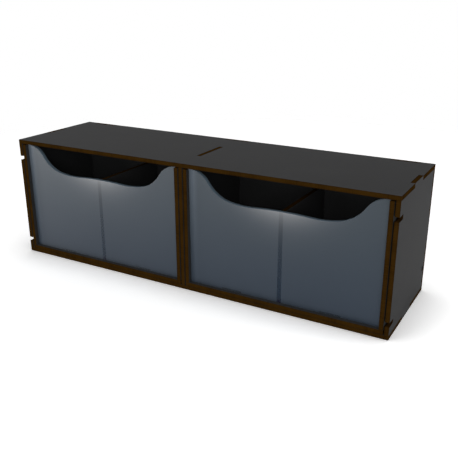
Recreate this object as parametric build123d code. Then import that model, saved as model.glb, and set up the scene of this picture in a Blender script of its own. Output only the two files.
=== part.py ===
from build123d import *
import math
import os

# Two-bay drawer organizer: a case of slotted flat boards and two drawers with waved clear fronts.
# Frame: origin at the bottom centre of the case, +X to the right, +Y to the back, +Z up, millimetres.

# Case
CASE_WIDTH = 305.0
CASE_DEPTH = 83.6
CASE_HEIGHT = 94.4
BOARD = 3.0  # thickness of every board

# Fits
TAB_PLAY = 0.05  # room on each side of a tab in its slot
SIDE_CLEARANCE = 0.7  # between a drawer and the board beside it
TOP_CLEARANCE = 0.75  # between a drawer's walls and the top panel
REAR_CLEARANCE = 1.5  # between a drawer and the back panel

# Tabs of the case
SIDE_TAB = 20.0
DIVIDER_TAB = 32.0
REAR_TAB = 20.0
BACK_TAB = 20.0
BACK_TAB_INSET = 20.1  # from the end of the back panel to the middle of its end tab

# Connector notches, each open at the edge of the side that it is cut into
NOTCH_WIDTH = 3.1
NOTCH_DEPTH = 7.5  # from the case's front or rear
NOTCH_LOW_HEIGHT = 10.6  # above the case's underside
NOTCH_HIGH_DROP = 14.65  # below the case's top
REAR_NOTCH_HEIGHT = 19.3  # above the case's underside

# Drawer
FRONT_THICKNESS = 3.0
FRONT_RECESS = 3.0  # from the drawer's front edge to the face of its clear front
DRAWER_TAB = 15.0
FRONT_TAB_INSET = 33.65  # from the end of the clear front to the middle of its lower tab
WALL_TAB_INSET = 19.0  # from the end of a wall or partition to the middle of its lower tab
PARTITION_DROP = 0.2  # from the middle of the wave to the partition's top edge

# Wave in the clear front's top edge
DIP_DEPTH = 20.7  # from the corner of the front to the lowest point of the wave
DIP_RUN = 44.9  # from the end of the front to the lowest point of the wave
DIP_RADIUS = 72.0
BEND_RUN = 31.9  # from the end of the front to where the dip bends up to the shoulder
BEND_RADIUS = 26.0
HUMP_RISE = 1.0  # of the middle above the lowest points


def around(middle, length):
    """Limits of a length centred on a point."""
    return (middle - length / 2, middle + length / 2)


def loose(span):
    """A span with the room that a tab needs on both sides."""
    return (span[0] - TAB_PLAY, span[1] + TAB_PLAY)


def block(x, y, z):
    """A rectangular solid between its limits on the three axes."""
    spans = (x, y, z)
    middle = [(low + high) / 2 for low, high in spans]
    size = [high - low for low, high in spans]
    return Pos(*middle) * Box(*size)


# Spans of the case
CASE_X = around(0, CASE_WIDTH)
CASE_Y = around(0, CASE_DEPTH)
BOTTOM_Z = (0, BOARD)
TOP_Z = (CASE_HEIGHT - BOARD, CASE_HEIGHT)
BETWEEN_Z = (BOTTOM_Z[1], TOP_Z[0])
BACK_Y = (CASE_Y[1] - BOARD, CASE_Y[1])
UPRIGHT_Y = (CASE_Y[0], BACK_Y[0])
REAR_TAB_Z = around(CASE_HEIGHT / 2, REAR_TAB)

LEFT_SIDE_X = (CASE_X[0], CASE_X[0] + BOARD)
RIGHT_SIDE_X = (CASE_X[1] - BOARD, CASE_X[1])
DIVIDER_X = around(0, BOARD)

SIDE_TAB_Y = around(sum(UPRIGHT_Y) / 2, SIDE_TAB)
DIVIDER_TAB_Y = around(sum(UPRIGHT_Y) / 2, DIVIDER_TAB)
UPRIGHT_TABS = ((LEFT_SIDE_X, SIDE_TAB_Y), (DIVIDER_X, DIVIDER_TAB_Y), (RIGHT_SIDE_X, SIDE_TAB_Y))

BACK_TABS_X = tuple(around(middle, BACK_TAB)
                    for middle in (CASE_X[0] + BACK_TAB_INSET, 0, CASE_X[1] - BACK_TAB_INSET))

# Spans of a drawer, centred on its own middle
BAY_WIDTH = RIGHT_SIDE_X[0] - DIVIDER_X[1]
BAY_MIDDLE = (RIGHT_SIDE_X[0] + DIVIDER_X[1]) / 2
DRAWER_X = around(0, BAY_WIDTH - 2 * SIDE_CLEARANCE)
DRAWER_Y = (UPRIGHT_Y[0], UPRIGHT_Y[1] - REAR_CLEARANCE)
FLOOR_Z = (BOTTOM_Z[1], BOTTOM_Z[1] + BOARD)
WALL_Z = (FLOOR_Z[1], TOP_Z[0] - TOP_CLEARANCE)
LEFT_WALL_X = (DRAWER_X[0], DRAWER_X[0] + BOARD)
RIGHT_WALL_X = (DRAWER_X[1] - BOARD, DRAWER_X[1])
INSIDE_X = (LEFT_WALL_X[1], RIGHT_WALL_X[0])
FRONT_Y = around(DRAWER_Y[0] + FRONT_RECESS + FRONT_THICKNESS / 2, FRONT_THICKNESS)
DRAWER_BACK_Y = (DRAWER_Y[1] - BOARD, DRAWER_Y[1])
PARTITION_X = around(0, BOARD)
PARTITION_Y = (FRONT_Y[1], DRAWER_BACK_Y[0])
PARTITION_Z = (FLOOR_Z[1], WALL_Z[1] - DIP_DEPTH + HUMP_RISE - PARTITION_DROP)

FRONT_TABS_X = tuple(around(end + inset, DRAWER_TAB)
                     for end, inset in zip(INSIDE_X, (FRONT_TAB_INSET, -FRONT_TAB_INSET)))
WALL_TABS_Y = tuple(around(end + inset, DRAWER_TAB)
                    for end, inset in zip(DRAWER_Y, (WALL_TAB_INSET, -WALL_TAB_INSET)))
PARTITION_TABS_Y = tuple(around(end + inset, DRAWER_TAB)
                         for end, inset in zip(PARTITION_Y, (WALL_TAB_INSET, -WALL_TAB_INSET)))
WALL_JOINT_Z = around(sum(WALL_Z) / 2, DRAWER_TAB)
PARTITION_JOINT_Z = around(sum(PARTITION_Z) / 2, DRAWER_TAB)


def deck(z):
    """Top or bottom panel: full width and depth, cut out for the tabs of the boards between."""
    panel = block(CASE_X, CASE_Y, z)
    for x, tab_y in UPRIGHT_TABS:
        panel -= block(loose(x), loose(tab_y), z)
    for x in BACK_TABS_X:
        panel -= block(loose(x), loose(BACK_Y), z)
    return panel


def upright(x, tab_y):
    """Board that stands front to back, with tabs up, down and to the rear."""
    board = block(x, UPRIGHT_Y, BETWEEN_Z)
    for z in (BOTTOM_Z, TOP_Z):
        board += block(x, tab_y, z)
    return board + block(x, BACK_Y, REAR_TAB_Z)


def side(x):
    """Outer upright, with two connector notches in its front edge and one in its rear edge."""
    board = upright(x, SIDE_TAB_Y)
    for height in (NOTCH_LOW_HEIGHT, CASE_HEIGHT - NOTCH_HIGH_DROP):
        board -= block(x, (CASE_Y[0], CASE_Y[0] + NOTCH_DEPTH), around(height, NOTCH_WIDTH))
    return board - block(x, (CASE_Y[1] - NOTCH_DEPTH, UPRIGHT_Y[1]), around(REAR_NOTCH_HEIGHT, NOTCH_WIDTH))


def back_panel():
    """Full-width back, with tabs up and down and openings for the uprights' rear tabs."""
    panel = block(CASE_X, BACK_Y, BETWEEN_Z)
    for x in BACK_TABS_X:
        for z in (BOTTOM_Z, TOP_Z):
            panel += block(x, BACK_Y, z)
    for x, _ in UPRIGHT_TABS:
        panel -= block(loose(x), BACK_Y, loose(REAR_TAB_Z))
    return panel


def case():
    """The six boards of the case, by name."""
    return {
        "top_panel": deck(TOP_Z),
        "bottom_panel": deck(BOTTOM_Z),
        "left_side": side(LEFT_SIDE_X),
        "right_side": side(RIGHT_SIDE_X),
        "centre_divider": upright(DIVIDER_X, DIVIDER_TAB_Y),
        "back_panel": back_panel(),
    }


def front_face():
    """Outline of the clear front: square below, with a wave of tangent arcs along the top."""
    half = INSIDE_X[1]
    low, top = WALL_Z
    dip_x = half - DIP_RUN
    dip_z = top - DIP_DEPTH
    dip_end = math.asin((DIP_RUN - BEND_RUN) / DIP_RADIUS)
    bend_x = dip_x + (DIP_RADIUS - BEND_RADIUS) * math.sin(dip_end)
    bend_z = dip_z + DIP_RADIUS - (DIP_RADIUS - BEND_RADIUS) * math.cos(dip_end)
    run, drop = half - bend_x, top - bend_z
    shoulder_radius = (run**2 + drop**2 - BEND_RADIUS**2) / (2 * (drop + BEND_RADIUS))
    hump_radius = (dip_x**2 + HUMP_RISE**2) / (2 * HUMP_RISE) - DIP_RADIUS
    shoulder_turn = math.degrees(math.asin(run / (BEND_RADIUS + shoulder_radius)))
    hump_turn = math.degrees(math.asin(dip_x / (DIP_RADIUS + hump_radius)))
    bend_from = math.degrees(dip_end)
    bend_turn = shoulder_turn - bend_from
    dip_turn = bend_from + hump_turn
    crest, trough = 90.0, -90.0  # directions of a circle's highest and lowest points
    with BuildSketch(Plane.XZ) as sketch:
        with BuildLine():
            CenterArc((half, top - shoulder_radius), shoulder_radius, crest, shoulder_turn)
            CenterArc((bend_x, bend_z), BEND_RADIUS, trough + shoulder_turn, -bend_turn)
            CenterArc((dip_x, dip_z + DIP_RADIUS), DIP_RADIUS, trough + bend_from, -dip_turn)
            CenterArc((0, dip_z + HUMP_RISE - hump_radius), hump_radius, crest - hump_turn, 2 * hump_turn)
            CenterArc((-dip_x, dip_z + DIP_RADIUS), DIP_RADIUS, trough + hump_turn, -dip_turn)
            CenterArc((-bend_x, bend_z), BEND_RADIUS, trough - bend_from, -bend_turn)
            CenterArc((-half, top - shoulder_radius), shoulder_radius, crest - shoulder_turn, shoulder_turn)
            Polyline((-half, top), (-half, low), (half, low), (half, top))
        make_face()
    return sketch.sketch


def drawer_front():
    """Clear front between the walls, with tabs into the floor and into both walls."""
    front = Pos(0, FRONT_Y[1], 0) * extrude(front_face(), FRONT_THICKNESS)
    for x in FRONT_TABS_X:
        front += block(x, FRONT_Y, FLOOR_Z)
    return front + block(DRAWER_X, FRONT_Y, WALL_JOINT_Z)


def drawer_floor():
    """Floor under the whole drawer, cut out for the tabs of everything that stands on it."""
    floor = block(DRAWER_X, DRAWER_Y, FLOOR_Z)
    for x in (LEFT_WALL_X, RIGHT_WALL_X):
        for y in WALL_TABS_Y:
            floor -= block(loose(x), loose(y), FLOOR_Z)
    for x in FRONT_TABS_X:
        for y in (FRONT_Y, DRAWER_BACK_Y):
            floor -= block(loose(x), loose(y), FLOOR_Z)
    for y in PARTITION_TABS_Y:
        floor -= block(loose(PARTITION_X), loose(y), FLOOR_Z)
    return floor


def drawer_wall(x):
    """Side wall on the floor's edge, with lower tabs and openings for the front's and the back's tabs."""
    wall = block(x, DRAWER_Y, WALL_Z)
    for y in WALL_TABS_Y:
        wall += block(x, y, FLOOR_Z)
    for y in (FRONT_Y, DRAWER_BACK_Y):
        wall -= block(x, loose(y), loose(WALL_JOINT_Z))
    return wall


def drawer_back():
    """Rear wall between the side walls, with tabs into them and the floor, and a slot for the partition."""
    back = block(INSIDE_X, DRAWER_BACK_Y, WALL_Z)
    for x in FRONT_TABS_X:
        back += block(x, DRAWER_BACK_Y, FLOOR_Z)
    back += block(DRAWER_X, DRAWER_BACK_Y, WALL_JOINT_Z)
    return back - block(loose(PARTITION_X), DRAWER_BACK_Y, loose(PARTITION_JOINT_Z))


def drawer_partition():
    """Low board from the clear front to the rear wall, which halves the drawer."""
    partition = block(PARTITION_X, PARTITION_Y, PARTITION_Z)
    for y in PARTITION_TABS_Y:
        partition += block(PARTITION_X, y, FLOOR_Z)
    return partition + block(PARTITION_X, DRAWER_BACK_Y, PARTITION_JOINT_Z)


def drawer():
    """The six pieces of one drawer, by name, about the drawer's own middle."""
    return {
        "front": drawer_front(),
        "floor": drawer_floor(),
        "left_wall": drawer_wall(LEFT_WALL_X),
        "right_wall": drawer_wall(RIGHT_WALL_X),
        "back": drawer_back(),
        "partition": drawer_partition(),
    }


def organizer():
    """Every piece of the organizer in its place, by node name."""
    pieces = case()
    for hand, middle in (("left", -BAY_MIDDLE), ("right", BAY_MIDDLE)):
        for name, piece in drawer().items():
            pieces[f"{hand}_drawer_{name}"] = Pos(middle, 0, 0) * piece
    return pieces


os.makedirs("parts", exist_ok=True)
for node, piece in organizer().items():
    export_step(piece, f"parts/{node}.step")
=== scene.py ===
"""Dresses the two-bay drawer organizer: slotted black boards with brown cut edges, and smoky waved fronts.

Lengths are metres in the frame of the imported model: X to the right, Y from the fronts to the back, Z up.
"""
import logging
import math
from dataclasses import dataclass, field
from enum import Enum
from typing import Any, Union

import bmesh
import bpy
from mathutils import Euler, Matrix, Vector


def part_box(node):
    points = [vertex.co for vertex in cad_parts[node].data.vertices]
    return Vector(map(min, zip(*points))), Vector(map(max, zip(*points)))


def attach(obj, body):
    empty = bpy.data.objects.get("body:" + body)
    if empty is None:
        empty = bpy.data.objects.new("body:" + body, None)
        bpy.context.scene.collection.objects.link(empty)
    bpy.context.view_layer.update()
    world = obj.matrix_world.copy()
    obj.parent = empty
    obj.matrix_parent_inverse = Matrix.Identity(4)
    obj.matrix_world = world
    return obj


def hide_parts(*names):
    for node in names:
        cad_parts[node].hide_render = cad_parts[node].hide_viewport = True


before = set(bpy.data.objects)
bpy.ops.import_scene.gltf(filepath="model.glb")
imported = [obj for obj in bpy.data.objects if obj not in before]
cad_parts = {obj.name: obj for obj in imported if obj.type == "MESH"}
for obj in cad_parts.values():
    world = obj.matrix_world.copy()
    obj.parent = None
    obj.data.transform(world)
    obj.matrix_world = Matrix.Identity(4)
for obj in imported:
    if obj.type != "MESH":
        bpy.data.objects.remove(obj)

MM = 0.001
WELD = 0.001 * MM  # points of a mesh nearer than this are one point
FLAT = math.radians(0.05)  # faces that turn less than this lie in one plane
CORNER = math.radians(30)  # faces that turn more than this meet at a hard corner
FACE_TURN = math.radians(45)  # the faces of a board or sheet turn less than this from its thin direction
EASE_STEPS = 2  # facets across an eased corner
EASE_PROFILE = 0.5  # which makes an eased corner round

FRONT_TAB = 15 * MM  # length of a tab of a clear front
FRONT_TAB_INSET = 33.65 * MM  # from the end of a clear front to the middle of its lower tab

Colour = tuple[float, float, float]
Place = tuple[float, float, float]
Ends = tuple[float, float]

log = logging.getLogger("drawer_organizer")


class Axis(Enum):
    """Direction in which a board is thin."""

    X = 0
    Y = 1
    Z = 2


class Hand(Enum):
    """Bay that a drawer runs in, as seen from the front."""

    LEFT = "left"
    RIGHT = "right"


class SheetFace(Enum):
    """Faces of a clear front that differ in finish, by material index."""

    FRONT = 0
    BACK = 1
    RIM = 2


class Wire:
    """Output socket of a node. Sums on it add Math nodes to its sheet."""

    def __init__(self, sheet: "NodeSheet", socket: bpy.types.NodeSocket) -> None:
        """Keeps the sheet of nodes and the socket."""
        self.sheet = sheet
        self.socket = socket

    def also(self, output: str) -> "Wire":
        """Another output of the same node."""
        return Wire(self.sheet, self.socket.node.outputs[output])

    def math(self, operation: str, *values: "Number") -> "Wire":
        """Adds one Math node.

        Args:
            operation: what the node does, by Blender's name for it.
            values: its numbers or wires, in order.

        Returns:
            The wire that carries the answer.
        """
        return self.sheet.node("ShaderNodeMath", {"operation": operation}, dict(enumerate(values)))

    def __add__(self, other: "Number") -> "Wire":
        """Sum of the wire and a number or wire."""
        return self.math("ADD", self, other)

    def __radd__(self, other: "Number") -> "Wire":
        """Sum of a number and the wire."""
        return self.math("ADD", other, self)

    def __sub__(self, other: "Number") -> "Wire":
        """The wire less a number or wire."""
        return self.math("SUBTRACT", self, other)

    def __rsub__(self, other: "Number") -> "Wire":
        """A number less the wire."""
        return self.math("SUBTRACT", other, self)

    def __mul__(self, other: "Number") -> "Wire":
        """The wire times a number or wire."""
        return self.math("MULTIPLY", self, other)

    def __rmul__(self, other: "Number") -> "Wire":
        """A number times the wire."""
        return self.math("MULTIPLY", other, self)

    def __truediv__(self, other: "Number") -> "Wire":
        """The wire over a number or wire."""
        return self.math("DIVIDE", self, other)

    def __rtruediv__(self, other: "Number") -> "Wire":
        """A number over the wire."""
        return self.math("DIVIDE", other, self)

    def __lt__(self, other: "Number") -> "Wire":
        """1 where the wire is the smaller, else 0."""
        return self.math("LESS_THAN", self, other)

    def __gt__(self, other: "Number") -> "Wire":
        """1 where the wire is the larger, else 0."""
        return self.math("GREATER_THAN", self, other)

    def __neg__(self) -> "Wire":
        """The wire with its sign turned."""
        return self.math("MULTIPLY", self, -1.0)

    def __abs__(self) -> "Wire":
        """The wire without its sign."""
        return self.math("ABSOLUTE", self)

    def sign(self) -> "Wire":
        """1 above 0, and -1 below."""
        return self.math("SIGN", self)

    def root(self) -> "Wire":
        """Square root, which is 0 below 0."""
        return self.math("SQRT", self)

    def at_least(self, floor: "Number") -> "Wire":
        """The wire, or a number or wire where that is the larger."""
        return self.math("MAXIMUM", self, floor)

    def at_most(self, ceiling: "Number") -> "Wire":
        """The wire, or a number or wire where that is the smaller."""
        return self.math("MINIMUM", self, ceiling)

    def fading(self) -> "Wire":
        """e to the power of the wire turned negative, so 1 at 0 and less beyond."""
        return self.math("EXPONENT", -self)

    def step(self, low: float, high: float) -> "Wire":
        """Eases from 0 to 1 as the wire goes from one value to another.

        Args:
            low: the value at which the answer is 0.
            high: the value at which it is 1, above or below the first.

        Returns:
            The wire of the eased value.
        """
        ends = {"Value": self, "From Min": min(low, high), "From Max": max(low, high),
                "To Min": float(low > high), "To Max": float(low <= high)}
        return self.sheet.node("ShaderNodeMapRange", {"interpolation_type": "SMOOTHSTEP"}, ends)


Number = Union[Wire, float]


class NodeSheet:
    """A tree of nodes, of a material, the world or a shape, with one way to add any node."""

    def __init__(self, tree: bpy.types.NodeTree) -> None:
        """Takes an empty tree."""
        self.tree = tree

    def feed(self, socket: bpy.types.NodeSocket, value: Any) -> None:
        """Links a wire to an input, or writes a plain value there.

        Args:
            socket: the input.
            value: a wire, or the socket's own kind of value.
        """
        if isinstance(value, Wire):
            self.tree.links.new(value.socket, socket)
        else:
            socket.default_value = value

    def node(self, kind: str, settings: dict[str, Any] | None = None,
             inputs: dict[int | str, Any] | None = None, output: int | str = 0) -> Wire:
        """Adds any node.

        Args:
            kind: Blender's name for the type of node.
            settings: its properties, which are set first.
            inputs: values or wires for its sockets, or a list of wires for a socket that takes several.
            output: the output that is wanted.

        Returns:
            The wire of that output.
        """
        made = self.tree.nodes.new(kind)
        for name, value in (settings or {}).items():
            setattr(made, name, value)
        for key, value in (inputs or {}).items():
            for each in value if isinstance(value, list) else [value]:
                self.feed(made.inputs[key], each)
        return Wire(self, made.outputs[output])

    def close(self, kind: str, socket: str, result: Wire) -> None:
        """Adds the node that ends the sheet and links the result to its socket."""
        self.feed(self.tree.nodes.new(kind).inputs[socket], result)

    def where(self, test: Wire, yes: Number, no: Number) -> Wire:
        """One number where a test is 1, another where it is 0."""
        return test * yes + (1 - test) * no

    def weighed(self, weights: tuple[float, ...], *patterns: Wire) -> Wire:
        """Sum of patterns, each times its weight."""
        first, *rest = (weight * pattern for weight, pattern in zip(weights, patterns))
        return sum(rest, first)


class Painter(NodeSheet):
    """The node sheet of one material, with the few patterns and shaders that the finishes share."""

    def __init__(self, name: str) -> None:
        """Starts a material with no nodes but the place of the point that is shaded.

        Args:
            name: the material's name.
        """
        self.material = bpy.data.materials.new(name)
        self.material.use_nodes = True
        super().__init__(self.material.node_tree)
        self.tree.nodes.clear()
        self.place = self.node("ShaderNodeTexCoord", output="Object")

    def xyz(self) -> tuple[Wire, Wire, Wire]:
        """The three coordinates of the point that is shaded."""
        parts = self.node("ShaderNodeSeparateXYZ", inputs={"Vector": self.place})
        return parts, parts.also("Y"), parts.also("Z")

    def stretched(self, periods: Place) -> Wire:
        """The place measured in a period of its own along each axis."""
        scale = tuple(1 / period for period in periods)
        return self.node("ShaderNodeVectorMath", {"operation": "MULTIPLY"}, {0: self.place, 1: scale})

    def noise(self, periods: Place, detail: float = 2.0, roughness: float = 0.5) -> Wire:
        """Cloudy pattern from 0 to 1, near 0.5 on average.

        Args:
            periods: size of the clouds along each axis.
            detail: how many finer layers lie on it.
            roughness: how strong those are.

        Returns:
            The wire of the pattern.
        """
        inputs = {"Vector": self.stretched(periods), "Scale": 1.0, "Detail": detail, "Roughness": roughness}
        return self.node("ShaderNodeTexNoise", inputs=inputs)

    def cells(self, period: float, smoothness: float = 0.6) -> Wire:
        """Pebbled pattern: the distance to the nearest of many scattered points."""
        inputs = {"Vector": self.stretched((period,) * 3), "Scale": 1.0, "Smoothness": smoothness}
        return self.node("ShaderNodeTexVoronoi", {"feature": "SMOOTH_F1"}, inputs, "Distance")

    def blend(self, low: Colour | Wire, high: Colour | Wire, share: Number, mode: str = "MIX") -> Wire:
        """Colour between two colours.

        Args:
            low: the colour at a share of 0.
            high: the colour at a share of 1, or what is taken from the first there.
            share: how far to go from one to the other.
            mode: how the two are put together, by Blender's name for it.

        Returns:
            The wire of the colour.
        """
        first, second = (c if isinstance(c, Wire) else (*c, 1.0) for c in (low, high))
        settings = {"data_type": "RGBA", "blend_type": mode, "clamp_factor": True, "clamp_result": True}
        return self.node("ShaderNodeMix", settings, {0: share, 6: first, 7: second}, 2)

    def bump(self, height: Wire, depth: float, strength: float) -> Wire:
        """Normal of a surface that rises and falls.

        Args:
            height: the pattern, from 0 to 1.
            depth: how far the surface rises from 0 to 1.
            strength: share of the effect that is kept.

        Returns:
            The wire of the normal.
        """
        inputs = {"Strength": strength, "Distance": depth, "Height": height}
        return self.node("ShaderNodeBump", inputs=inputs)

    def matte(self, colour: Colour) -> Wire:
        """Shader of a dull surface in one colour."""
        return self.node("ShaderNodeBsdfDiffuse", inputs={"Color": (*colour, 1.0)})

    def between(self, low: Wire, high: Wire, share: Wire) -> Wire:
        """Shader between two shaders, which is the second where the share is 1."""
        return self.node("ShaderNodeMixShader", inputs={0: share, 1: low, 2: high})

    def finish(self, shader: Wire) -> bpy.types.Material:
        """Links a shader to the material's output and gives the material."""
        self.close("ShaderNodeOutputMaterial", "Surface", shader)
        return self.material

    def principled(self, inputs: dict[str, Any]) -> bpy.types.Material:
        """Ends the sheet in a Principled shader with these inputs and gives the material."""
        return self.finish(self.node("ShaderNodeBsdfPrincipled", inputs=inputs))


@dataclass(frozen=True)
class BlackLaminate:
    """Satin black laminate on both faces of every board."""

    dark: Colour = (0.031, 0.031, 0.0315)
    pale: Colour = (0.041, 0.041, 0.0415)
    cloud: float = 45 * MM
    pebble: float = 0.55 * MM
    grain: float = 0.385 * MM
    rise: float = 0.012 * MM
    relief: float = 0.5
    smooth: float = 0.45
    rough: float = 0.60
    shine: float = 0.012
    tone_weights: tuple[float, ...] = (0.55, 0.3, 0.2)  # of clouds, grain and pebbles
    tone_ends: Ends = (0.3, 0.75)  # tones that are dark and pale
    sheen_weights: tuple[float, ...] = (0.6, 0.5)  # of clouds and pebbles
    rise_weights: tuple[float, ...] = (0.6, 0.4)  # of pebbles and grain

    def make(self) -> bpy.types.Material:
        """Pebbled skin with faint clouds, and a sheen that varies a little.

        Returns:
            The material.
        """
        p = Painter("black_laminate")
        clouds = p.noise((self.cloud,) * 3, detail=4.0)
        pebbles = p.cells(self.pebble)
        grain = p.noise((self.grain,) * 3, detail=3.0, roughness=0.6)
        tone = p.weighed(self.tone_weights, clouds, grain, pebbles)
        sheen = p.weighed(self.sheen_weights, clouds, pebbles)
        return p.principled({
            "Base Color": p.blend(self.dark, self.pale, tone.step(*self.tone_ends)),
            "Roughness": self.smooth + (self.rough - self.smooth) * sheen,
            "Specular IOR Level": self.shine,
            "Normal": p.bump(p.weighed(self.rise_weights, pebbles, grain), self.rise, self.relief),
        })


@dataclass(frozen=True)
class ScorchedEdge:
    """Brown fibre core of a board where the laser cut it, between its two black skins."""

    axis: Axis
    brown: Colour = (0.0385, 0.0178, 0.0028)
    burnt: Colour = (0.0165, 0.0073, 0.0015)
    skin: Colour = (0.012, 0.0062, 0.0018)
    stripe: float = 0.45 * MM
    stripe_length: float = 9 * MM
    burn: float = 14 * MM
    rise: float = 0.05 * MM
    relief: float = 0.5
    smooth: float = 0.78
    rough: float = 0.92
    shine: float = 0.0
    warm_weights: tuple[float, ...] = (0.75, 0.6, -0.12)  # of stripes, burns and the depth to the skins
    warm_ends: Ends = (0.3, 0.75)  # sums that are burnt and brown
    skin_ends: Ends = (0.865, 0.955)  # depths at which a skin begins and is full
    skin_cover: float = 0.7

    def make(self) -> bpy.types.Material:
        """Fine stripes along the beam, broad burns along the cut, and a dark line at each skin.

        Returns:
            The material.
        """
        p = Painter(f"scorched_edge_{self.axis.name.lower()}")
        along_beam = [self.stripe] * 3
        along_beam[self.axis.value] = self.stripe_length
        stripes = p.noise(tuple(along_beam), detail=3.0, roughness=0.6)
        burns = p.noise((self.burn,) * 3, detail=3.0)
        through = p.node("ShaderNodeAttribute", {"attribute_name": "through"}, output="Fac")
        depth = abs(through - 0.5) * 2  # 0 in the middle of the core and 1 at either skin
        warm = p.weighed(self.warm_weights, stripes, burns, depth).step(*self.warm_ends)
        core = p.blend(self.burnt, self.brown, warm)
        return p.principled({
            "Base Color": p.blend(core, self.skin, self.skin_cover * depth.step(*self.skin_ends)),
            "Roughness": self.rough + (self.smooth - self.rough) * stripes,
            "Specular IOR Level": self.shine,
            "Normal": p.bump(stripes, self.rise, self.relief),
        })


@dataclass(frozen=True)
class Acrylic:
    """What the faces of a sheet of smoky blue-grey acrylic have in common."""

    deep: Colour = (0.032, 0.046, 0.067)
    haze: Colour = (0.210, 0.250, 0.290)
    cloud: float = 30 * MM
    refraction: float = 1.49
    shine: float = 0.2


@dataclass(frozen=True, kw_only=True)
class SmokyFront(Acrylic):
    """Satin front face, which shows the body of the sheet and a little of its back, with painted light and
    shade in its colour.
    """

    middle: float  # of a bay, to either side of the case's middle
    half: float  # of the sheet's width between the walls
    base: float  # height of the sheet's lower edge
    top: float  # height of its upper corners
    crest: float  # height of the wave's middle
    contact: float  # thickness of the partition that touches the sheet

    # painted light: the body turns to this colour towards the sheet's top
    pale: Colour = (0.062, 0.078, 0.093)
    glow: Colour = (0.272, 0.283, 0.298)  # painted light under the wave's middle
    painted_fringe: Colour = (0.200, 0.240, 0.290)  # painted highlight along the left end
    shade: Colour = (0.012, 0.018, 0.026)  # painted reflection of the dark floor along the foot, and painted shade along the left end and over the lower tabs
    through: Colour = (0.032, 0.036, 0.040)  # painted shade along the partition: light from inside, which the partition stops
    cover: float = 0.88
    wipe: Place = (25 * MM, 25 * MM, 60 * MM)
    rough: float = 0.46
    rough_gain: float = 0.08
    cloud_weight: float = 0.1
    glow_width: float = 25 * MM
    glow_drop: float = 6.5 * MM
    fringe_width: float = 8 * MM
    fringe_low: float = 0.14  # strength of the fringe at the foot
    fringe_gain: float = 0.56  # what it gains up to the top
    foot: float = 5 * MM
    foot_dark: float = 0.2
    border: float = 3.2 * MM  # width of the painted shade where the end and foot show through the face
    border_dark: float = 0.1
    line: float = 1.4 * MM  # height of the painted dark line along the foot
    line_dark: float = 0.12
    tab_dark: float = 0.55  # what that painted line gains over a tab
    blur: float = 0.4 * MM  # to either side of the border, the line and the tabs
    contact_ends: Ends = (0.6, 0.4)  # shares of the partition's thickness that bound its blur

    def dark(self, off: Wire, up: Wire, inward: Wire) -> Wire:
        """Share of painted shade and painted reflection along the sheet's foot and left end, and over its
        lower tabs.

        Args:
            off: distance from the sheet's middle, to either side.
            up: height over the sheet's lower edge.
            inward: distance from its left end.

        Returns:
            The wire of the share.
        """
        at_foot = up.step(self.foot, 0.0)
        at_border = up.at_most(inward).step(self.border + self.blur, self.border - self.blur)
        at_line = up.step(self.line + self.blur, self.line - self.blur)
        from_tab = abs(off - (self.half - FRONT_TAB_INSET)) - FRONT_TAB / 2
        in_line = self.line_dark + self.tab_dark * from_tab.step(self.blur, -self.blur)
        return self.foot_dark * at_foot + self.border_dark * at_border + in_line * at_line

    def colour(self, p: Painter) -> Wire:
        """Body of the sheet with painted light and shade: paler to its top, painted light under the wave's
        middle, a painted highlight along the left end, painted shade along the foot and over the tabs, and
        a painted shade line along the partition.

        Args:
            p: the material's sheet.

        Returns:
            The wire of the colour.
        """
        x, _, z = p.xyz()
        across = x - x.sign() * self.middle
        off, up = abs(across), z - self.base
        rise = (up / (self.top - self.base)).at_least(0.0)
        clouds = p.noise((self.cloud,) * 3, detail=3.0)
        # painted light: the body grows paler towards the top, with random clouds
        body = p.blend(self.deep, self.pale, rise * rise.root() + self.cloud_weight * (clouds - 0.5))
        at_end = across.step(self.fringe_width - self.half, -self.half)
        # painted highlight along the left end, stronger towards the top
        fringed = p.blend(body, self.painted_fringe, (self.fringe_low + self.fringe_gain * rise * rise) * at_end)
        # painted shade and reflection along the foot, the left end and the tabs
        shaded = p.blend(fringed, self.shade, self.dark(off, up, across + self.half))
        # painted light under the wave's middle, fading sideways and downwards
        sideways, down = off / self.glow_width, (self.crest - z) / self.glow_drop
        near_wave = (sideways * sideways).fading() * down.at_least(0.0).fading()
        lit = p.blend(shaded, self.glow, near_wave)
        # painted shade line where the partition touches the sheet
        partition_shade_mask = off.step(*(self.contact * share for share in self.contact_ends))
        return p.blend(lit, self.through, partition_shade_mask, "SUBTRACT")

    def make(self) -> bpy.types.Material:
        """Satin skin with faint wipes over the colour of the body.

        Returns:
            The material.
        """
        p = Painter("smoky_acrylic_front")
        return p.principled({
            "Base Color": self.colour(p),
            "Roughness": self.rough + self.rough_gain * p.noise(self.wipe, detail=3.0),
            "IOR": self.refraction,
            "Specular IOR Level": self.shine,
            "Alpha": self.cover,
        })


@dataclass(frozen=True)
class HazyBack(Acrylic):
    """Hazy back face, which takes the light that the front lets through."""

    cover: float = 0.6
    cloud_share: float = 0.15
    satin: float = 0.6 * MM
    rise: float = 0.006 * MM
    relief: float = 0.5
    rough: float = 0.5
    rough_gain: float = 0.15

    def make(self) -> bpy.types.Material:
        """Pale haze with faint clouds and a fine satin.

        Returns:
            The material.
        """
        p = Painter("smoky_acrylic_back")
        satin = p.noise((self.satin,) * 3)
        clouds = p.noise((self.cloud,) * 3, detail=3.0)
        return p.principled({
            "Base Color": p.blend(self.haze, self.deep, self.cloud_share * clouds),
            "Roughness": self.rough + self.rough_gain * satin,
            "IOR": self.refraction,
            "Alpha": self.cover,
            "Normal": p.bump(satin, self.rise, self.relief),
        })


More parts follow.
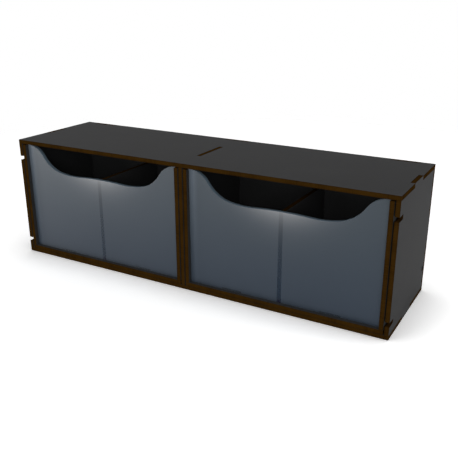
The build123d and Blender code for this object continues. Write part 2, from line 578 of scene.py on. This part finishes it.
@dataclass(frozen=True)
class PolishedRim(Acrylic):
    """Edge of the sheet, which the laser polished and left with faint ripples."""

    edge: Colour = (0.146, 0.205, 0.257)
    cover: float = 0.92
    haze_share: float = 0.2
    ripple: Place = (0.8 * MM, 12 * MM, 0.8 * MM)
    rise: float = 0.015 * MM
    relief: float = 0.4
    rough: float = 0.3
    rough_gain: float = 0.12

    def make(self) -> bpy.types.Material:
        """Blue-grey gloss with ripples across the edge.

        Returns:
            The material.
        """
        p = Painter("smoky_acrylic_rim")
        ripples = p.noise(self.ripple)
        return p.principled({
            "Base Color": p.blend(self.edge, self.haze, self.haze_share * ripples),
            "Roughness": self.rough + self.rough_gain * ripples,
            "IOR": self.refraction,
            "Specular IOR Level": self.shine,
            "Alpha": self.cover,
            "Normal": p.bump(ripples, self.rise, self.relief),
        })


@dataclass(frozen=True)
class Finishes:
    """Materials that the boards and fronts share."""

    laminate: bpy.types.Material
    edges: dict[Axis, bpy.types.Material]
    acrylic: dict[SheetFace, bpy.types.Material]


def show(name: str, shape: bmesh.types.BMesh, materials: list[bpy.types.Material]) -> bpy.types.Object:
    """Makes an object at the origin from a finished shape.

    Args:
        name: the piece's name.
        shape: its geometry, which is freed.
        materials: its materials, in the order of the faces' indices.

    Returns:
        The object, linked to the scene.
    """
    mesh = bpy.data.meshes.new(name)
    shape.to_mesh(mesh)
    shape.free()
    for material in materials:
        mesh.materials.append(material)
    made = bpy.data.objects.new(name, mesh)
    bpy.context.scene.collection.objects.link(made)
    return made


def soften(shape: bmesh.types.BMesh, radius: float) -> None:
    """Merges a shape's doubles, joins its flat faces and eases its outer corners.

    Args:
        shape: the geometry to change.
        radius: how far a corner is taken back.
    """
    bmesh.ops.remove_doubles(shape, verts=shape.verts, dist=WELD)
    bmesh.ops.dissolve_limit(shape, angle_limit=FLAT, verts=shape.verts, edges=shape.edges)
    outer = [e for e in shape.edges if e.is_manifold and e.is_convex and e.calc_face_angle() > CORNER]
    bmesh.ops.bevel(shape, geom=outer, offset=radius, offset_type="OFFSET", segments=EASE_STEPS,
                    profile=EASE_PROFILE, affect="EDGES", clamp_overlap=True)


@dataclass
class Board:
    """One flat board of the frame, with laminate on its faces and scorched cut edges."""

    node: str
    body: str
    axis: Axis
    ease: float = 0.12 * MM

    def build(self, finishes: Finishes) -> bpy.types.Object:
        """Makes the board from a copy of its node, eases its corners and dresses it.

        Args:
            finishes: the shared materials.

        Returns:
            The piece that stands for the node.
        """
        shape = bmesh.new()
        shape.from_mesh(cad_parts[self.node].data)
        soften(shape, self.ease)
        self.mark_edges(shape)
        piece = show(f"{self.node}_board", shape, [finishes.laminate, finishes.edges[self.axis]])
        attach(piece, self.body)
        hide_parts(self.node)
        return piece

    def mark_edges(self, shape: bmesh.types.BMesh) -> None:
        """Gives cut edges the second material and each point its share of the way through the board.

        Args:
            shape: the board's geometry.
        """
        axis = self.axis.value
        low, high = (corner[axis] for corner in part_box(self.node))
        through = shape.verts.layers.float.new("through")
        for vert in shape.verts:
            vert[through] = (vert.co[axis] - low) / (high - low)
        shape.normal_update()
        for face in shape.faces:
            face.material_index = int(abs(face.normal[axis]) < math.cos(FACE_TURN))


class WaveTree(NodeSheet):
    """Geometry nodes of a waved front.

    Tangent arcs make the wave: a hump in the middle, and to either side a dip, a bend and a shoulder.
    """

    SIZES = ("Middle", "Back", "Half Width", "Low", "Top", "Thickness", "Tab", "Tab Inset", "Tab Depth",
             "Dip Depth", "Dip Run", "Dip Radius", "Bend Run", "Bend Radius", "Hump Rise")

    def __init__(self) -> None:
        """Makes the tree with its named inputs, and lays the nodes."""
        tree = bpy.data.node_groups.new("waved_front", "GeometryNodeTree")
        super().__init__(tree)
        tree.interface.new_socket("Geometry", in_out="OUTPUT", socket_type="NodeSocketGeometry")
        for name in self.SIZES:
            tree.interface.new_socket(name, in_out="INPUT", socket_type="NodeSocketFloat")
        tree.interface.new_socket("Columns", in_out="INPUT", socket_type="NodeSocketInt")
        tree.interface.new_socket("Material", in_out="INPUT", socket_type="NodeSocketMaterial")
        self.given = self.node("NodeGroupInput")
        self.end(self.joined(self.slab(), self.tabs()))

    def size(self, name: str) -> Wire:
        """One of the named inputs."""
        return self.given.also(name)

    def wave(self, across: Wire) -> Wire:
        """Height of the top edge at a distance from the sheet's middle.

        Args:
            across: the distance, on either side.

        Returns:
            The wire of the height.
        """
        half, top, rise = self.size("Half Width"), self.size("Top"), self.size("Hump Rise")
        dip, bend = self.size("Dip Radius"), self.size("Bend Radius")
        dip_x, dip_z = half - self.size("Dip Run"), top - self.size("Dip Depth")
        dip_end = half - self.size("Bend Run")
        lean = (dip_end - dip_x) / dip
        bend_x = dip_x + (dip - bend) * lean
        bend_z = dip_z + dip - (dip - bend) * (1 - lean * lean).root()
        run, drop = half - bend_x, top - bend_z
        shoulder = (run * run + drop * drop - bend * bend) / (2 * (drop + bend))
        hump = (dip_x * dip_x + rise * rise) / (2 * rise) - dip
        hump_end, bend_end = hump * dip_x / (hump + dip), half - shoulder * run / (shoulder + bend)
        from_dip, from_bend, from_end = across - dip_x, across - bend_x, half - across
        on_hump = dip_z + rise - hump + (hump * hump - across * across).root()
        on_dip = dip_z + dip - (dip * dip - from_dip * from_dip).root()
        on_bend = bend_z - (bend * bend - from_bend * from_bend).root()
        on_shoulder = top - shoulder + (shoulder * shoulder - from_end * from_end).root()
        outer = self.where(across < bend_end, on_bend, on_shoulder)
        return self.where(across < hump_end, on_hump, self.where(across < dip_end, on_dip, outer))

    def vector(self, x: Number, y: Number, z: Number) -> Wire:
        """A point or a direction from its three parts."""
        return self.node("ShaderNodeCombineXYZ", inputs={"X": x, "Y": y, "Z": z})

    def slab(self) -> Wire:
        """Closed sheet under the wave: a grid stood up as the back, pushed forward and closed behind.

        Returns:
            The wire of the sheet.
        """
        grid = self.node("GeometryNodeMeshGrid", inputs={
            "Size X": 2 * self.size("Half Width"), "Size Y": 1.0,
            "Vertices X": self.size("Columns") + 1, "Vertices Y": 2})
        spot = self.node("ShaderNodeSeparateXYZ", inputs={"Vector": self.node("GeometryNodeInputPosition")})
        across, up = spot, spot.also("Y") + 0.5  # the grid's middle is at 0, and up goes from 0 to 1
        low = self.size("Low")
        height = low + up * (self.wave(abs(across)) - low)
        stood = self.node("GeometryNodeSetPosition", inputs={
            "Geometry": grid,
            "Position": self.vector(self.size("Middle") + across, self.size("Back"), height)})
        front = self.node("GeometryNodeExtrudeMesh", {"mode": "FACES"}, {
            "Mesh": stood, "Offset": self.vector(0.0, -1.0, 0.0), "Offset Scale": self.size("Thickness"),
            "Individual": False})
        back = self.node("GeometryNodeFlipFaces", inputs={"Mesh": stood})
        shell = self.node("GeometryNodeJoinGeometry", inputs={"Geometry": [front, back]})
        return self.node("GeometryNodeMergeByDistance", inputs={"Geometry": shell, "Distance": WELD})

    def pair(self, offset: Wire, height: Wire, size: Wire) -> Wire:
        """A like block on either side of the sheet's middle.

        Args:
            offset: from the sheet's middle to the blocks' middles.
            height: of the blocks' middles.
            size: of a block.

        Returns:
            The wire of the two blocks.
        """
        middle, y = self.size("Middle"), self.size("Back") - self.size("Thickness") / 2
        ends = self.node("GeometryNodeMeshLine", {"mode": "END_POINTS"}, {
            "Count": 2, "Start Location": self.vector(middle - offset, y, height),
            "Offset": self.vector(middle + offset, y, height)})
        block = self.node("GeometryNodeMeshCube", inputs={"Size": size})
        return self.node("GeometryNodeInstanceOnPoints", inputs={"Points": ends, "Instance": block})

    def tabs(self) -> Wire:
        """Two tabs down into the floor and one out into each wall, each rooted in the sheet.

        Returns:
            The wire of the four tabs.
        """
        half, low, tab = self.size("Half Width"), self.size("Low"), self.size("Tab")
        depth, thick = self.size("Tab Depth"), self.size("Thickness")
        lower = self.pair(half - self.size("Tab Inset"), low, self.vector(tab, thick, 2 * depth))
        outer = self.pair(half, (low + self.size("Top")) / 2, self.vector(2 * depth, thick, tab))
        pairs = self.node("GeometryNodeJoinGeometry", inputs={"Geometry": [lower, outer]})
        return self.node("GeometryNodeRealizeInstances", inputs={"Geometry": pairs})

    def joined(self, slab: Wire, tabs: Wire) -> Wire:
        """The sheet and its tabs as one closed shell."""
        return self.node("GeometryNodeMeshBoolean", {"operation": "UNION", "solver": "EXACT"},
                         {"Mesh 2": [slab, tabs]})

    def end(self, shape: Wire) -> None:
        """Makes a shape real, gives it its material and ends the tree.

        Args:
            shape: the wire of the finished sheet.
        """
        real = self.node("GeometryNodeRealizeInstances", inputs={"Geometry": shape})
        dressed = self.node("GeometryNodeSetMaterial", inputs={
            "Geometry": real, "Material": self.size("Material")})
        self.close("NodeGroupOutput", "Geometry", dressed)


def grown_mesh(name: str, tree: bpy.types.NodeTree, values: dict[str, Any]) -> bpy.types.Mesh:
    """Runs geometry nodes once and keeps what they make as a plain mesh.

    Args:
        name: name of the mesh.
        tree: the geometry nodes.
        values: what goes into the tree's inputs, by name.

    Returns:
        The mesh, with no modifier behind it.
    """
    holder = bpy.data.objects.new(name, bpy.data.meshes.new(name))
    bpy.context.scene.collection.objects.link(holder)
    modifier = holder.modifiers.new("shape", "NODES")
    modifier.node_group = tree
    for item in tree.interface.items_tree:
        if item.in_out == "INPUT":
            modifier[item.identifier] = values[item.name]
    ready = bpy.context.evaluated_depsgraph_get()
    mesh = bpy.data.meshes.new_from_object(holder.evaluated_get(ready))
    holder.modifiers.clear()
    bare = holder.data
    bpy.data.objects.remove(holder)
    bpy.data.meshes.remove(bare)
    return mesh


@dataclass
class WavedFront:
    """Clear front of a drawer: a sheet with a waved top edge and tabs into the floor and walls."""

    node: str
    body: str
    wave: WaveTree
    columns: int = 160
    thickness: float = 3 * MM
    tab: float = FRONT_TAB
    tab_inset: float = FRONT_TAB_INSET
    tab_depth: float = 3 * MM
    dip_depth: float = 20.7 * MM
    dip_run: float = 44.9 * MM
    dip_radius: float = 72 * MM
    bend_run: float = 31.9 * MM
    bend_radius: float = 26 * MM
    hump_rise: float = 1 * MM
    ease: float = 0.1 * MM
    standoff: float = 0.02 * MM  # keeps the clear back face off the partition's edge

    def sizes(self) -> dict[str, float]:
        """Works out the shape's sizes: its place from the frame, and the rest from the fields.

        Returns:
            The numbers, by the names of the tree's inputs.
        """
        low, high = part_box(self.node)
        return {
            "Middle": (low.x + high.x) / 2,
            "Back": high.y - self.standoff,
            "Half Width": (high.x - low.x) / 2 - self.tab_depth,
            "Low": low.z + self.tab_depth,
            "Top": high.z,
            "Thickness": self.thickness - self.standoff,
            "Tab": self.tab,
            "Tab Inset": self.tab_inset,
            "Tab Depth": self.tab_depth,
            "Dip Depth": self.dip_depth,
            "Dip Run": self.dip_run,
            "Dip Radius": self.dip_radius,
            "Bend Run": self.bend_run,
            "Bend Radius": self.bend_radius,
            "Hump Rise": self.hump_rise,
        }

    def build(self, finishes: Finishes) -> bpy.types.Object:
        """Runs the shape's nodes, eases the sheet's corners and dresses it.

        Args:
            finishes: the shared materials.

        Returns:
            The piece that stands for the node.
        """
        mesh = grown_mesh(f"{self.node}_shape", self.wave.tree, {
            **self.sizes(), "Columns": self.columns, "Material": finishes.acrylic[SheetFace.FRONT]})
        shape = bmesh.new()
        shape.from_mesh(mesh)
        bpy.data.meshes.remove(mesh)
        soften(shape, self.ease)
        self.mark_faces(shape)
        piece = show(f"{self.node}_sheet", shape, [finishes.acrylic[face] for face in SheetFace])
        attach(piece, self.body)
        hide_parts(self.node)
        return piece

    def mark_faces(self, shape: bmesh.types.BMesh) -> None:
        """Sorts the faces into front, back and rim, and smooths all but the flat ones and the hard corners.

        Args:
            shape: the sheet's geometry.
        """
        shape.normal_update()
        for edge in shape.edges:
            edge.smooth = edge.calc_face_angle() < CORNER
        for face in shape.faces:
            face.smooth = abs(face.normal.y) < math.cos(FLAT)
            if abs(face.normal.y) < math.cos(FACE_TURN):
                face.material_index = SheetFace.RIM.value
            else:
                facing = SheetFace.BACK if face.normal.y > 0 else SheetFace.FRONT
                face.material_index = facing.value


@dataclass
class Case:
    """The six slotted boards that stay together."""

    body: str = "case"
    boards: dict[str, Axis] = field(default_factory=lambda: {
        "top_panel": Axis.Z,
        "bottom_panel": Axis.Z,
        "left_side": Axis.X,
        "right_side": Axis.X,
        "centre_divider": Axis.X,
        "back_panel": Axis.Y,
    })

    def build(self, finishes: Finishes) -> list[bpy.types.Object]:
        """Makes and dresses every board of the case.

        Args:
            finishes: the shared materials.

        Returns:
            The pieces.
        """
        return [Board(node, self.body, axis).build(finishes) for node, axis in self.boards.items()]


@dataclass
class Drawer:
    """One drawer: five boards and a waved clear front, which slide together."""

    hand: Hand
    wave: WaveTree
    boards: dict[str, Axis] = field(default_factory=lambda: {
        "floor": Axis.Z,
        "left_wall": Axis.X,
        "right_wall": Axis.X,
        "back": Axis.Y,
        "partition": Axis.X,
    })

    @property
    def body(self) -> str:
        """Name of the body that the drawer's pieces ride on."""
        return f"{self.hand.value}_drawer"

    def build(self, finishes: Finishes) -> list[bpy.types.Object]:
        """Makes and dresses every piece of the drawer.

        Args:
            finishes: the shared materials.

        Returns:
            The pieces.
        """
        pieces = [Board(f"{self.body}_{name}", self.body, axis).build(finishes)
                  for name, axis in self.boards.items()]
        return pieces + [WavedFront(f"{self.body}_front", self.body, self.wave).build(finishes)]


@dataclass(frozen=True)
class SoftLamp:
    """A softbox that faces a point."""

    name: str
    place: Place
    power: float
    width: float
    height: float
    only_gloss: bool = False  # shows in shiny faces and lights no dull ones
    aim: Place = (0.0, 0.0, 0.05)

    def build(self) -> bpy.types.Object:
        """Adds the lamp to the scene, out of the camera's sight.

        Returns:
            The lamp.
        """
        data = bpy.data.lights.new(self.name, "AREA")
        data.energy = self.power
        data.shape = "RECTANGLE"
        data.size = self.width
        data.size_y = self.height
        lamp = bpy.data.objects.new(self.name, data)
        lamp.location = self.place
        away = Vector(self.place) - Vector(self.aim)
        lamp.rotation_euler = away.to_track_quat("Z", "Y").to_euler()
        lamp.visible_camera = False
        lamp.visible_diffuse = not self.only_gloss
        bpy.context.scene.collection.objects.link(lamp)
        return lamp


@dataclass
class Studio:
    """Pale floor, soft light, white surroundings and the camera."""

    floor_radius: float = 1.6
    floor_sides: int = 64
    floor_fade: Ends = (0.35, 0.7)  # distances from the middle where the floor begins to clear and is gone
    floor_drop: float = 0.1 * MM
    floor_colour: Colour = (0.88, 0.88, 0.88)
    floor_grain: float = 2 * MM
    grain_dim: float = 0.99  # share of the floor's colour that the dull side of its grain keeps
    floor_coat: Colour = (0.90, 0.90, 0.90)  # more pale where the floor is seen, not where it lights
    contact_shadow_reach: float = 25 * MM  # how far from a corner with the floor the painted contact shadow reaches
    contact_shadow_loss: float = 0.7  # share of the coat that the painted contact shadow takes in a closed corner
    white: Colour = (1.0, 1.0, 1.0)
    sky: float = 0.36
    lens: float = 50.776
    camera_near: float = 10 * MM
    camera_place: Place = (0.24034, -0.39824, 0.20606)
    camera_turn: Place = (69.588, 0.069, 29.490)  # degrees about X, Y and Z
    lamps: tuple[SoftLamp, ...] = (
        SoftLamp("overhead_softbox", (0.0, 0.0, 1.60), 3.6, 0.8, 0.8),
        SoftLamp("left_softbox", (-0.95, -1.35, 0.50), 7.4, 1.2, 0.9),
        SoftLamp("left_reflector", (-0.69, -0.40, 0.25), 19.0, 0.5, 0.48, only_gloss=True),
        SoftLamp("front_softbox", (0.75, -1.45, 0.48), 7.8, 0.9, 0.8),
        SoftLamp("right_softbox", (1.50, 0.50, 0.55), 7.2, 1.0, 0.8),
    )

    def build(self) -> None:
        """Makes everything around the object."""
        bpy.context.scene.view_settings.view_transform = "Standard"
        self.build_world()
        self.build_floor()
        for lamp in self.lamps:
            lamp.build()
        self.build_camera()

    def seen_directly(self, sheet: NodeSheet) -> Wire:
        """1 for rays from the camera, off gloss or through glass, and 0 for light that falls on things."""
        path = sheet.node("ShaderNodeLightPath", output="Is Camera Ray")
        return path.at_least(path.also("Is Glossy Ray")).at_least(path.also("Is Transmission Ray"))

    def build_world(self) -> None:
        """White where it is seen, and an even soft light elsewhere."""
        world = bpy.data.worlds.new("white_surroundings")
        world.use_nodes = True
        world.node_tree.nodes.clear()
        sheet = NodeSheet(world.node_tree)
        light = sheet.node("ShaderNodeBackground", inputs={
            "Color": (*self.white, 1.0),
            "Strength": sheet.where(self.seen_directly(sheet), 1.0, self.sky),
        })
        sheet.close("ShaderNodeOutputWorld", "Surface", light)
        bpy.context.scene.world = world

    def floor_material(self) -> bpy.types.Material:
        """Dull pale floor with a coat that only shows where it is seen and holds a painted contact shadow
        near the object, clear further out.

        Returns:
            The material.
        """
        p = Painter("pale_floor")
        dim = tuple(self.grain_dim * c for c in self.floor_colour)
        pale = p.between(p.matte(dim), p.matte(self.floor_colour), p.noise((self.floor_grain,) * 3))
        # painted contact shadow: the coat darkens where the object closes off the floor
        shadowed_coat = tuple((1 - self.contact_shadow_loss) * c for c in self.floor_coat)
        openness = p.node("ShaderNodeAmbientOcclusion", inputs={"Distance": self.contact_shadow_reach}, output="AO")
        coat = p.between(p.matte(shadowed_coat), p.matte(self.floor_coat), openness)
        seen = p.node("ShaderNodeMixShader", inputs={0: self.seen_directly(p), 2: coat})
        coated = p.node("ShaderNodeAddShader", inputs={0: pale, 1: seen})
        x, y, _ = p.xyz()
        far = (x * x + y * y).root().step(*self.floor_fade)
        return p.finish(p.between(coated, p.node("ShaderNodeBsdfTransparent"), far))

    def build_floor(self) -> None:
        """Pale disc that keeps the shadow near the object, with a painted contact shadow in its coat, and
        fades into the white further out.
        """
        shape = bmesh.new()
        bmesh.ops.create_circle(shape, cap_ends=True, radius=self.floor_radius, segments=self.floor_sides)
        bmesh.ops.translate(shape, verts=shape.verts, vec=(0, 0, -self.floor_drop))
        show("studio_floor", shape, [self.floor_material()])

    def build_camera(self) -> None:
        """The camera, where the picture was taken from."""
        data = bpy.data.cameras.new("camera")
        data.lens = self.lens
        data.clip_start = self.camera_near
        camera = bpy.data.objects.new("camera", data)
        camera.location = self.camera_place
        camera.rotation_euler = Euler([math.radians(turn) for turn in self.camera_turn])
        bpy.context.scene.collection.objects.link(camera)
        bpy.context.scene.camera = camera


def make_finishes() -> Finishes:
    """Makes the shared materials, with the acrylic's pattern set on the drawers' middles.

    Returns:
        The materials.
    """
    low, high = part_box("right_drawer_partition")
    sheet_low, sheet_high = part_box("right_drawer_front")
    board = high.x - low.x
    front = SmokyFront(middle=(low.x + high.x) / 2, half=(sheet_high.x - sheet_low.x) / 2 - board,
                       base=low.z + board, top=sheet_high.z, crest=high.z, contact=board)
    faces = {SheetFace.FRONT: front, SheetFace.BACK: HazyBack(), SheetFace.RIM: PolishedRim()}
    return Finishes(
        laminate=BlackLaminate().make(),
        edges={axis: ScorchedEdge(axis).make() for axis in Axis},
        acrylic={face: finish.make() for face, finish in faces.items()},
    )


def main() -> None:
    """Builds the case, the drawers and the studio."""
    logging.basicConfig(level=logging.INFO, format="%(name)s: %(message)s")
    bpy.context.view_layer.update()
    finishes = make_finishes()
    wave = WaveTree()
    for assembly in (Case(), *(Drawer(hand, wave) for hand in Hand)):
        for piece in assembly.build(finishes):
            log.info("%s: %d faces on %s", piece.name, len(piece.data.polygons), assembly.body)
    Studio().build()


if __name__ == "__main__":
    main()
